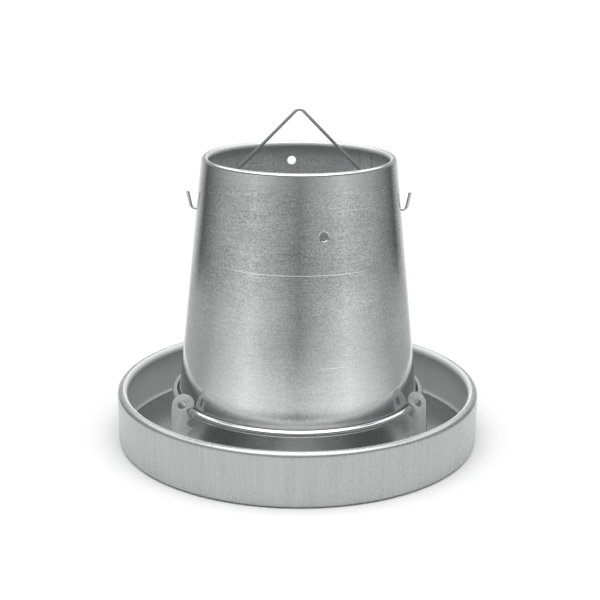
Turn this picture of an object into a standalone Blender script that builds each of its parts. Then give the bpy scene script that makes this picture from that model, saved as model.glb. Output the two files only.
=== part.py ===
"""Galvanised hanging poultry feeder.

A tapered sheet-metal hopper stands on three notched racks inside a round feed pan, and hangs from a wire bail.
The origin is under the middle of the pan, +Z is up and -Y is the front. Sizes are in metres.
"""

import math

import bmesh
import bpy
from mathutils import Matrix, Vector

MM = 0.001

# Sheet, wire and clearances
SHEET = 0.8 * MM
RACK_SHEET = 1.2 * MM
BAIL_WIRE = 3.0 * MM
SEAT_GAP = 0.3 * MM

# Pan: a drawn dish that stands on a flat foot ring, with a raised floor and a cone that spreads the feed
PAN_RADIUS = 180.0 * MM
PAN_HEIGHT = 53.0 * MM
PAN_BEAD = 9.2 * MM
PAN_CORNER = 3.8 * MM
FOOT_RING_WIDTH = 11.0 * MM
FLOOR_STEP = 3.0 * MM
FLOOR_RISE = 4.0 * MM
CONE_HEIGHT = 46.0 * MM
CONE_TIP_RADIUS = 10.0 * MM
CONE_MARGIN = 5.6 * MM

# Hopper: rolled sheet with a lapped seam, wider at the foot
HOPPER_TOP_RADIUS = 93.8 * MM
HOPPER_FOOT_RADIUS = 118.3 * MM
HOPPER_HEIGHT = 239.7 * MM
TOP_BEAD = 6.6 * MM
BASE_BEAD = 7.2 * MM
FLARE_HEIGHT = 2.5 * MM
FLARE_OUT = 1.4 * MM
SEAM_AZIMUTH = math.radians(44.2)
SEAM_SHARE_OF_FACET = 0.9
SEAM_END_MARGIN = 2.0 * MM
FRONT_HOLE = (4.2 * MM, math.radians(-76.9), 56.2 * MM)
BACK_HOLE = (4.5 * MM, math.radians(94.7), 21.0 * MM)

# Racks: toothed plates that hold the hopper's base bead in one of their notches
RACK_COUNT = 3
RACK_AZIMUTH = math.radians(93.5)
RACK_TWIST = math.radians(15.0)
NOTCHES = 3
NOTCH_PITCH = 12.0 * MM
TOP_NOTCH_HEIGHT = 47.0 * MM
TOOTH_REACH = 2.6 * MM
TOOTH_TIP_RADIUS = 0.9 * MM
TOOTH_DROP = 1.2 * MM
HEAD_RADIUS = 11.0 * MM
HEAD_OUT = 7.8 * MM
HEAD_RISE = 7.6 * MM
HEAD_HOLE_RADIUS = 4.0 * MM
HEAD_HOLE_OUT = 1.2 * MM
BACK_SLOPE = 2.6 * MM
BEND_RADIUS = 1.8 * MM
TAB_WIDTH = 13.0 * MM

# Rivets through each rack's foot tab and the pan's floor
RIVETS_PER_RACK = 2
RIVET_SPACING = 12.0 * MM
RIVET_SHANK_RADIUS = 1.6 * MM
RIVET_HEAD_RADIUS = 3.2 * MM
RIVET_HEAD_HEIGHT = 1.3 * MM

# Bail: one wire bent to an inverted V, its ends through the hopper's side holes and hooked up outside
BAIL_HOLE_DROP = 51.6 * MM
BAIL_HOLE_RADIUS = 1.9 * MM
BAIL_RISE = 97.7 * MM
BAIL_BEND_IN = 2.4 * MM
BAIL_APEX_BEND = 5.0 * MM
BAIL_WALL_BEND = 4.5 * MM
HOOK_BEND = 4.2 * MM
HOOK_OUT = 5.4 * MM
HOOK_HEIGHT = 16.8 * MM
HOOK_LEAN = math.radians(11.5)

# Smoothness
STEPS_ROUND = 48
ARC_STEP = math.radians(30.0)
WIRE_ARC_STEP = math.radians(15.0)
CUTTER_SIDES = 20
CUT_MARGIN = 5.0 * MM

# Places worked out from the sizes above
FLOOR_TOP = FLOOR_RISE + SHEET
RING_CENTRE_RADIUS = HOPPER_FOOT_RADIUS - SHEET + FLARE_OUT + BASE_BEAD / 2
HOPPER_BOTTOM = TOP_NOTCH_HEIGHT - BASE_BEAD / 2
HOPPER_TOP = HOPPER_BOTTOM + HOPPER_HEIGHT
NOTCH_RADIUS = BASE_BEAD / 2 + SEAT_GAP + RACK_SHEET / 2 * math.tan(RACK_TWIST)
BAIL_AXIS_HEIGHT = HOPPER_TOP - BAIL_HOLE_DROP
RACK_AZIMUTHS = [RACK_AZIMUTH + index * math.tau / RACK_COUNT for index in range(RACK_COUNT)]
RACK_NAMES = ["rack_back", "rack_left", "rack_right"]


def material(name, colour, roughness):
    """A metal with one colour and roughness."""
    made = bpy.data.materials.new(name)
    made.use_nodes = True
    shader = made.node_tree.nodes["Principled BSDF"]
    shader.inputs["Base Color"].default_value = (*colour, 1.0)
    shader.inputs["Metallic"].default_value = 1.0
    shader.inputs["Roughness"].default_value = roughness
    return made


def add_object(name, data, collection, finish=None):
    """A new object that holds the given mesh or curve."""
    made = bpy.data.objects.new(name, data)
    collection.objects.link(made)
    if finish:
        data.materials.append(finish)
    return made


def arc(centre, radius, start, end, step=ARC_STEP):
    """Points on an arc from one angle to another, both ends included."""
    count = max(2, math.ceil(abs(end - start) / step - 1e-6))
    angles = [start + (end - start) * index / count for index in range(count + 1)]
    return [(centre[0] + radius * math.cos(a), centre[1] + radius * math.sin(a)) for a in angles]


def rounded_path(corners, radii, step=WIRE_ARC_STEP):
    """A path of straight runs whose inner corners are turned into arcs of the given radii."""
    path = [corners[0]]
    for before, corner, after, radius in zip(corners, corners[1:], corners[2:], radii):
        into = (Vector(corner) - Vector(before)).normalized()
        out = (Vector(after) - Vector(corner)).normalized()
        turn = into.angle(out)
        side = 1.0 if into.x * out.y - into.y * out.x > 0 else -1.0
        start = Vector(corner) - into * radius * math.tan(turn / 2)
        normal = Vector((-into.y, into.x)) * side
        centre = start + normal * radius
        first = math.atan2(-normal.y, -normal.x)
        path.extend(arc(centre, radius, first, first + side * turn, step))
    path.append(corners[-1])
    return path


def edge_profile(name, points):
    """A mesh of edges only, with the profile's points in the XZ plane."""
    mesh = bpy.data.meshes.new(name)
    edges = [(index, index + 1) for index in range(len(points) - 1)]
    mesh.from_pydata([(x, 0.0, z) for x, z in points], edges, [])
    return mesh


def add_screw(target, angle=math.tau, steps=STEPS_ROUND):
    """Turns the object's profile round its own Z axis."""
    screw = target.modifiers.new("turn", "SCREW")
    screw.axis = "Z"
    screw.angle = angle
    screw.steps = steps
    screw.render_steps = steps
    screw.use_merge_vertices = angle == math.tau
    screw.merge_threshold = 0.01 * MM
    screw.use_smooth_shade = True


def add_wall(target, thickness):
    """Gives a surface the thickness of its sheet, half on each side."""
    wall = target.modifiers.new("sheet", "SOLIDIFY")
    wall.thickness = thickness
    wall.offset = 0.0
    wall.use_even_offset = True


def add_boolean(target, cutter, operation):
    """Cuts the target with a cutter, or joins one to it."""
    boolean = target.modifiers.new(f"{operation.lower()}_{cutter.name}", "BOOLEAN")
    boolean.operation = operation
    boolean.object = cutter


def hide_cutter(cutter):
    """Keeps a cutter out of the finished part."""
    cutter.hide_render = True
    cutter.display_type = "WIRE"
    return cutter


def drill(name, radius, length, matrix, collection):
    """A round cutter along the local Z axis of the given matrix."""
    mesh = bpy.data.meshes.new(name)
    shape = bmesh.new()
    bmesh.ops.create_cone(
        shape, cap_ends=True, segments=CUTTER_SIDES, radius1=radius, radius2=radius, depth=length
    )
    shape.to_mesh(mesh)
    shape.free()
    cutter = hide_cutter(add_object(name, mesh, collection))
    cutter.matrix_world = matrix
    return cutter


def frozen_mesh(source, name):
    """The object's finished mesh, with its loose caps welded."""
    bpy.context.view_layer.update()
    graph = bpy.context.evaluated_depsgraph_get()
    mesh = bpy.data.meshes.new_from_object(source.evaluated_get(graph))
    mesh.name = name
    shape = bmesh.new()
    shape.from_mesh(mesh)
    bmesh.ops.remove_doubles(shape, verts=shape.verts, dist=0.001 * MM)
    shape.to_mesh(mesh)
    shape.free()
    return mesh


def pan_profile():
    """The pan's mid-sheet line: rim curl, wall, foot ring, raised floor and cone, from the curl's end to the axis."""
    half = SHEET / 2
    curl = PAN_BEAD / 2 - half
    wall = PAN_RADIUS - half
    points = arc((wall - curl, PAN_HEIGHT - PAN_BEAD / 2), curl, math.radians(300.0), 0.0)
    corner = PAN_CORNER - half
    points += arc((wall - corner, PAN_CORNER), corner, 0.0, -math.pi / 2)
    step_out = PAN_RADIUS - FOOT_RING_WIDTH
    step_in = step_out - FLOOR_STEP
    floor = FLOOR_RISE + half
    points += [(step_out, half), (step_in, floor)]
    cone_radius = RING_CENTRE_RADIUS - TOOTH_REACH - CONE_MARGIN
    slope = math.atan2(CONE_HEIGHT, cone_radius)
    tip_centre = floor + CONE_HEIGHT - CONE_TIP_RADIUS / math.cos(slope)
    points += [(cone_radius, floor)]
    points += arc((0.0, tip_centre), CONE_TIP_RADIUS, math.pi / 2 - slope, math.pi / 2, slope / 2)[:-1]
    points.append((0.0, tip_centre + CONE_TIP_RADIUS))
    return points


def wall_line():
    """The hopper wall's mid-sheet line: its radius at the top bead, and at the foot, with the heights of both."""
    half = SHEET / 2
    top = (HOPPER_TOP_RADIUS - half, HOPPER_TOP - TOP_BEAD / 2)
    foot = (HOPPER_FOOT_RADIUS - half, TOP_NOTCH_HEIGHT + BASE_BEAD / 2 + FLARE_HEIGHT)
    return top, foot


def wall_radius(height):
    """The hopper's mid-sheet radius at a height between its beads."""
    top, foot = wall_line()
    return top[0] + (foot[0] - top[0]) * (top[1] - height) / (top[1] - foot[1])


def hopper_profile():
    """The hopper's mid-sheet line: top curl turned in, tapered wall, small flare, base curl turned out."""
    half = SHEET / 2
    top, foot = wall_line()
    taper = math.atan2(foot[0] - top[0], top[1] - foot[1])
    top_curl = TOP_BEAD / 2 - half
    points = arc((top[0] - top_curl, top[1]), top_curl, math.radians(300.0), taper)
    points.append(foot)
    base_curl = BASE_BEAD / 2 - half
    ring = (RING_CENTRE_RADIUS, TOP_NOTCH_HEIGHT)
    points += arc(ring, base_curl, math.radians(165.0), math.radians(464.0))
    return points


def make_pan(parts, cutters, finish):
    pan = add_object("pan", edge_profile("pan", pan_profile()), parts, finish)
    add_screw(pan)
    add_wall(pan, SHEET)
    for index, place in enumerate(rivet_places()):
        hole = Matrix.Translation(place)
        name = f"pan_rivet_hole_{index + 1}"
        cutter = drill(name, RIVET_SHANK_RADIUS + SEAT_GAP, 2 * CUT_MARGIN, hole, cutters)
        add_boolean(pan, cutter, "DIFFERENCE")
    return pan


def make_seam(cutters):
    """The lapped seam's second thickness of sheet, on the inside of one facet of the hopper's wall."""
    top, foot = wall_line()
    high = top[1] - TOP_BEAD / 2 - SEAM_END_MARGIN
    low = foot[1] + SEAM_END_MARGIN
    points = [(wall_radius(z) - SHEET / 2, z) for z in (high, low)]
    seam = add_object("seam_lap", edge_profile("seam_lap", points), cutters)
    width = SEAM_SHARE_OF_FACET * math.tau / STEPS_ROUND
    add_screw(seam, width, 1)
    add_wall(seam, 2 * SHEET)
    seam.rotation_euler.z = SEAM_AZIMUTH - width / 2
    return hide_cutter(seam)


def make_hopper(parts, cutters, finish):
    hopper = add_object("hopper", edge_profile("hopper", hopper_profile()), parts, finish)
    add_screw(hopper)
    add_wall(hopper, SHEET)
    hopper.rotation_euler.z = SEAM_AZIMUTH - math.pi / STEPS_ROUND
    add_boolean(hopper, make_seam(cutters), "UNION")
    holes = {
        "bail_hole_right": (BAIL_HOLE_RADIUS, 0.0, BAIL_HOLE_DROP),
        "bail_hole_left": (BAIL_HOLE_RADIUS, math.pi, BAIL_HOLE_DROP),
        "front_hole": FRONT_HOLE,
        "back_hole": BACK_HOLE,
    }
    for name, (radius, azimuth, drop) in holes.items():
        height = HOPPER_TOP - drop
        out = Matrix.Rotation(azimuth, 4, "Z") @ Matrix.Translation((wall_radius(height), 0.0, height))
        turned = out @ Matrix.Rotation(math.pi / 2, 4, "Y")
        add_boolean(hopper, drill(name, radius, 4 * CUT_MARGIN, turned, cutters), "DIFFERENCE")
    return hopper


def rack_outline():
    """The rack's outline, with X out from the base bead's centre line and Z over the ground."""
    tip = -TOOTH_REACH
    lowest = FLOOR_TOP - CUT_MARGIN
    points = [(tip, lowest)]
    for index in range(NOTCHES):
        notch = TOP_NOTCH_HEIGHT - (NOTCHES - 1 - index) * NOTCH_PITCH
        tooth = notch - NOTCH_PITCH / 2 - TOOTH_DROP
        rounding = (tip + TOOTH_TIP_RADIUS, tooth)
        start = math.pi if index == 0 else math.radians(240.0)
        points += arc(rounding, TOOTH_TIP_RADIUS, start, math.radians(120.0), math.radians(40.0))
        points += arc((0.0, notch), NOTCH_RADIUS, -math.pi / 2, math.pi / 2)
    head = (HEAD_OUT, TOP_NOTCH_HEIGHT + HEAD_RISE)
    dip = math.asin((HEAD_RISE - NOTCH_RADIUS) / HEAD_RADIUS)
    points += arc(head, HEAD_RADIUS, math.pi + dip, 0.0, math.radians(15.0))
    points.append((HEAD_OUT + HEAD_RADIUS + BACK_SLOPE, lowest))
    return points


def make_rack_mesh(cutters):
    """A bent strip of sheet, cut to the rack's outline and drilled for its rivets."""
    half = RACK_SHEET / 2
    tab = FLOOR_TOP + SEAT_GAP + half
    top = TOP_NOTCH_HEIGHT + HEAD_RISE + HEAD_RADIUS + CUT_MARGIN
    bend = rounded_path([(TAB_WIDTH, tab), (0.0, tab), (0.0, top)], [BEND_RADIUS + half])
    mesh = bpy.data.meshes.new("rack_strip")
    shape = bmesh.new()
    left = -TOOTH_REACH - CUT_MARGIN
    length = HEAD_OUT + HEAD_RADIUS + BACK_SLOPE + CUT_MARGIN - left
    line = [shape.verts.new((left, y, z)) for y, z in bend]
    edges = [shape.edges.new(pair) for pair in zip(line, line[1:])]
    drawn = bmesh.ops.extrude_edge_only(shape, edges=edges)["geom"]
    moved = [item for item in drawn if isinstance(item, bmesh.types.BMVert)]
    bmesh.ops.translate(shape, verts=moved, vec=(length, 0.0, 0.0))
    bmesh.ops.recalc_face_normals(shape, faces=shape.faces)
    shape.to_mesh(mesh)
    shape.free()
    strip = add_object("rack_strip", mesh, cutters)
    add_wall(strip, RACK_SHEET)

    outline = bpy.data.curves.new("rack_outline", "CURVE")
    outline.dimensions = "2D"
    outline.fill_mode = "BOTH"
    outline.extrude = TAB_WIDTH + CUT_MARGIN
    hole = (HEAD_OUT + HEAD_HOLE_OUT, TOP_NOTCH_HEIGHT + HEAD_RISE)
    for points in (rack_outline(), arc(hole, HEAD_HOLE_RADIUS, 0.0, math.tau, math.radians(20.0))[:-1]):
        spline = outline.splines.new("POLY")
        spline.points.add(len(points) - 1)
        for point, (x, z) in zip(spline.points, points):
            point.co = (x, z, 0.0, 1.0)
        spline.use_cyclic_u = True
    drawn_outline = add_object("rack_outline_curve", outline, cutters)
    drawn_outline.rotation_euler.x = math.pi / 2
    punch = add_object("rack_punch", frozen_mesh(drawn_outline, "rack_punch"), cutters)
    punch.matrix_world = drawn_outline.matrix_world
    bpy.data.objects.remove(drawn_outline)
    hide_cutter(punch)
    add_boolean(strip, punch, "INTERSECT")
    for index, (x, y) in enumerate(rivet_offsets()):
        place = Matrix.Translation((x, y, tab))
        name = f"tab_rivet_hole_{index + 1}"
        cutter = drill(name, RIVET_SHANK_RADIUS + SEAT_GAP, CUT_MARGIN, place, cutters)
        add_boolean(strip, cutter, "DIFFERENCE")
    finished = frozen_mesh(strip, "rack")
    bpy.data.objects.remove(strip)
    return finished


def rack_matrix(azimuth):
    """From a rack's own axes to the feeder's: its origin is on the base bead's centre line."""
    out = Matrix.Rotation(azimuth, 4, "Z") @ Matrix.Translation((RING_CENTRE_RADIUS, 0.0, 0.0))
    return out @ Matrix.Rotation(-RACK_TWIST, 4, "Z")


def rivet_offsets():
    """Each rivet's place on the foot tab, in the rack's own axes."""
    middle = (HEAD_OUT + HEAD_RADIUS + BACK_SLOPE - TOOTH_REACH) / 2
    bend_edge = BEND_RADIUS + RACK_SHEET
    across = (TAB_WIDTH + bend_edge) / 2
    first = middle - RIVET_SPACING * (RIVETS_PER_RACK - 1) / 2
    return [(first + index * RIVET_SPACING, across) for index in range(RIVETS_PER_RACK)]


def rivet_places():
    """Each rivet's place on the pan's floor."""
    places = []
    for azimuth in RACK_AZIMUTHS:
        for x, y in rivet_offsets():
            places.append(rack_matrix(azimuth) @ Vector((x, y, FLOOR_TOP)))
    return places


def make_racks(parts, cutters, finish):
    mesh = make_rack_mesh(cutters)
    racks = []
    for name, azimuth in zip(RACK_NAMES, RACK_AZIMUTHS):
        rack = add_object(name, mesh, parts)
        rack.matrix_world = rack_matrix(azimuth)
        racks.append(rack)
    mesh.materials.clear()
    mesh.materials.append(finish)
    return racks


def rivet_profile():
    """A rivet's outline from its domed head down its shank to the closed end, round its own axis."""
    under_head = SEAT_GAP + RACK_SHEET + SEAT_GAP
    over_tail = -SHEET - SEAT_GAP
    points = [(0.0, under_head + RIVET_HEAD_HEIGHT)]
    for share in (0.45, 0.8):
        points.append((RIVET_HEAD_RADIUS * share, under_head + RIVET_HEAD_HEIGHT * math.sqrt(1 - share**2)))
    points += [(RIVET_HEAD_RADIUS, under_head), (RIVET_SHANK_RADIUS, under_head)]
    points += [(RIVET_SHANK_RADIUS, over_tail), (RIVET_HEAD_RADIUS, over_tail)]
    points += [(RIVET_HEAD_RADIUS * 0.8, over_tail - RIVET_HEAD_HEIGHT * 0.7)]
    points += [(0.0, over_tail - RIVET_HEAD_HEIGHT)]
    return points


def make_rivets(parts, finish):
    mesh = edge_profile("rivet", rivet_profile())
    mesh.materials.append(finish)
    rivets = []
    names = [f"{rack}_rivet_{index + 1}" for rack in RACK_NAMES for index in range(RIVETS_PER_RACK)]
    for name, place in zip(names, rivet_places()):
        rivet = add_object(name, mesh, parts)
        rivet.location = place
        add_screw(rivet, steps=12)
        rivets.append(rivet)
    return rivets


def bail_corners():
    """The bail's corners from one hook's tip to the other, in X and in height over the bail's axis."""
    half_wire = BAIL_WIRE / 2
    wall = wall_radius(BAIL_AXIS_HEIGHT)
    foot = wall - BAIL_BEND_IN
    half_angle = math.atan2(foot, BAIL_RISE)
    apex = BAIL_RISE - half_wire + BAIL_APEX_BEND * (1 / math.sin(half_angle) - 1)
    hook = wall + HOOK_OUT
    tip = (hook + HOOK_HEIGHT * math.tan(HOOK_LEAN), HOOK_HEIGHT)
    side = [tip, (hook, 0.0), (foot, 0.0)]
    return [(-x, z) for x, z in side] + [(0.0, apex)] + side[::-1]


def make_bail(parts, finish):
    radii = [HOOK_BEND, BAIL_WALL_BEND, BAIL_APEX_BEND, BAIL_WALL_BEND, HOOK_BEND]
    path = rounded_path(bail_corners(), radii)
    wire = bpy.data.curves.new("bail", "CURVE")
    wire.dimensions = "3D"
    wire.bevel_depth = BAIL_WIRE / 2
    wire.bevel_resolution = 2
    wire.use_fill_caps = True
    spline = wire.splines.new("POLY")
    spline.points.add(len(path) - 1)
    for point, (x, z) in zip(spline.points, path):
        point.co = (x, 0.0, z, 1.0)
    return add_object("bail", wire, parts, finish)


def add_axis(name, location, collection, parent=None):
    """An empty on a joint's axis."""
    axis = bpy.data.objects.new(name, None)
    collection.objects.link(axis)
    axis.location = location
    axis.parent = parent
    return axis


def main():
    for item in list(bpy.data.objects):
        bpy.data.objects.remove(item)
    parts = bpy.data.collections.new("poultry_feeder")
    cutters = bpy.data.collections.new("cutters")
    for collection in (parts, cutters):
        bpy.context.scene.collection.children.link(collection)

    drawn_sheet = material("galvanised_pan_sheet", (0.50, 0.51, 0.52), 0.38)
    rolled_sheet = material("galvanised_hopper_sheet", (0.46, 0.47, 0.48), 0.34)
    rack_sheet = material("galvanised_rack_sheet", (0.48, 0.49, 0.50), 0.40)
    wire = material("galvanised_wire", (0.52, 0.53, 0.54), 0.36)
    rivet_metal = material("zinc_rivet", (0.55, 0.56, 0.57), 0.42)

    pan_axis = add_axis("pan_frame", (0.0, 0.0, 0.0), parts)
    hopper_axis = add_axis("hopper_turn_axis", (0.0, 0.0, 0.0), parts, pan_axis)
    bail_axis = add_axis("bail_swing_axis", (0.0, 0.0, BAIL_AXIS_HEIGHT), parts, hopper_axis)

    fixed = [make_pan(parts, cutters, drawn_sheet)]
    fixed += make_racks(parts, cutters, rack_sheet)
    fixed += make_rivets(parts, rivet_metal)
    for piece in fixed:
        piece.parent = pan_axis
    make_hopper(parts, cutters, rolled_sheet).parent = hopper_axis
    make_bail(parts, wire).parent = bail_axis


main()
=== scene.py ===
"""Looks for the galvanised hanging poultry feeder.

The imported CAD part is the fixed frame. Each sub-assembly below builds smooth, detailed surfaces in the places of
the CAD nodes and gives them the finish of galvanised steel. All sizes are in metres.
"""

import logging
import math
from dataclasses import dataclass, field
from enum import Enum
from typing import Any

import bmesh
import bpy
import numpy as np
from mathutils import Matrix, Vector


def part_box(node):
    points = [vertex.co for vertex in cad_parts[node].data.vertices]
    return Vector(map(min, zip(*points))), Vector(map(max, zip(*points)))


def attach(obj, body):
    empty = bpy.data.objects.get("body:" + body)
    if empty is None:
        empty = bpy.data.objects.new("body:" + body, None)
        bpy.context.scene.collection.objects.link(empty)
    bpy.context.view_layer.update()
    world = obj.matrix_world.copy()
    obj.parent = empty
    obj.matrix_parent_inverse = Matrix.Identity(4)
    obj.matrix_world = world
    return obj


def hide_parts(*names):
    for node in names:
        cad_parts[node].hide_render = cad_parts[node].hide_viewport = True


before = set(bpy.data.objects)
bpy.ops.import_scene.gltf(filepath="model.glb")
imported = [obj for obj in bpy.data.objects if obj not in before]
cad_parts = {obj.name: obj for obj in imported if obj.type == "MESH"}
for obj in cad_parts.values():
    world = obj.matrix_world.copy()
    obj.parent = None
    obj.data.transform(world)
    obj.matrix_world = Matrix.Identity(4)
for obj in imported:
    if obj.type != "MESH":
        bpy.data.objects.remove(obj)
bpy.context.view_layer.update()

LOG = logging.getLogger("poultry_feeder")
MM = 0.001
CUT_EDGE = "cut_edge"
WELD = 0.002 * MM
SHARP = math.radians(50.0)
DOME_FOOT = 0.06

# Finish: colours of rubbed zinc, bare steel, painted light and painted shade, the patterns' shares of the grey,
# and where the wear and the painted shade begin and end.
# Near white: the scuffs' rubbed zinc, also used as painted light on the pan's inner faces.
RUBBED_ZINC_AND_PAINTED_LIGHT = "#F4F4F4"
# Near black of the cut edges: bare steel, darkened further as painted shade.
SHADED_BARE_STEEL = "#3C3D3E"
# Dark grey of the painted shade on the pan's floor.
FLOOR_SHADE_GREY = "#4C4D4E"
GRAIN_SHARE = 0.25
BLOOM_SHARE = 0.4
SOFTER = 0.25
CALM_WEAR = 0.54
CALM_FADE = 12.0 * MM
# Height under which the painted floor shade lies.
FLOOR_SHADE_TOP = 45.0 * MM
FACES_IN = -0.03

Colour = tuple[float, float, float, float]
Tree = bpy.types.NodeTree
Socket = bpy.types.NodeSocket
Material = bpy.types.Material
Piece = bpy.types.Object


def linear(code: str) -> Colour:
    """Turns an sRGB hex colour into linear light.

    Args:
        code: six hex digits with a leading #.

    Returns:
        Red, green, blue and alpha, each from 0 to 1.
    """
    shares = [int(code[place:place + 2], 16) / 255 for place in (1, 3, 5)]
    red, green, blue = (
        share / 12.92 if share <= 0.04045 else ((share + 0.055) / 1.055) ** 2.4 for share in shares
    )
    return (red, green, blue, 1.0)


def add_node(
    tree: Tree,
    kind: str,
    inputs: dict[Any, Any] | None = None,
    settings: dict[str, Any] | None = None,
    stops: list[tuple[float, Any]] | None = None,
) -> bpy.types.Node:
    """Adds a node, sets it up and links it.

    Args:
        tree: the node tree it goes into.
        kind: the node's type name.
        inputs: for each input's name or place, a value or the output that feeds it.
        settings: the node's own properties.
        stops: for a colour ramp, each stop's place and colour.

    Returns:
        The new node.
    """
    node = tree.nodes.new(kind)
    for name, value in (settings or {}).items():
        setattr(node, name, value)
    for key, value in (inputs or {}).items():
        if isinstance(value, Socket):
            tree.links.new(value, node.inputs[key])
        else:
            node.inputs[key].default_value = value
    if stops:
        elements = node.color_ramp.elements
        while len(elements) < len(stops):
            elements.new(1.0)
        for element, (place, colour) in zip(elements, stops):
            element.position = place
            element.color = colour if isinstance(colour, tuple) else (colour, colour, colour, 1.0)
    return node


def calculate(tree: Tree, operation: str, *values: Any) -> Socket:
    """Adds a maths node on numbers, or on the outputs that feed it, and gives its result."""
    return add_node(tree, "ShaderNodeMath", dict(enumerate(values)), {"operation": operation}).outputs[0]


def combine(tree: Tree, operation: str, *values: Any) -> Socket:
    """Adds a vector maths node and gives its result, a number for a dot product and a vector otherwise."""
    node = add_node(tree, "ShaderNodeVectorMath", dict(enumerate(values)), {"operation": operation})
    return node.outputs["Value" if operation == "DOT_PRODUCT" else "Vector"]


def fade(tree: Tree, value: Socket, start: float, full: float, top: float = 1.0) -> Socket:
    """Adds a straight ramp from 0 where the value is start to top where it is full, level beyond both."""
    inputs = {"Value": value, "From Min": start, "From Max": full, "To Max": top}
    return add_node(tree, "ShaderNodeMapRange", inputs).outputs[0]


def blend(tree: Tree, share: Socket, low: Any, high: Any) -> Socket:
    """Mixes two colours, where the share is how much of the second there is."""
    return add_node(tree, "ShaderNodeMix", {0: share, 6: low, 7: high}, {"data_type": "RGBA"}).outputs[2]


class Working(Enum):
    """How the metal was worked, with the length of its marks along X, Y and Z."""

    ROLLED = (24.0 * MM, 24.0 * MM, 0.7 * MM)
    DRAWN = (2.2 * MM, 2.2 * MM, 60.0 * MM)
    STAMPED = (1.6 * MM, 1.6 * MM, 1.6 * MM)
    WIRE = (9.0 * MM, 0.8 * MM, 9.0 * MM)


@dataclass(frozen=True)
class Scuff:
    """A thin bright line rubbed round the hopper's wall."""

    height: float
    begin: float
    end: float
    width: float = 0.45 * MM


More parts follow.
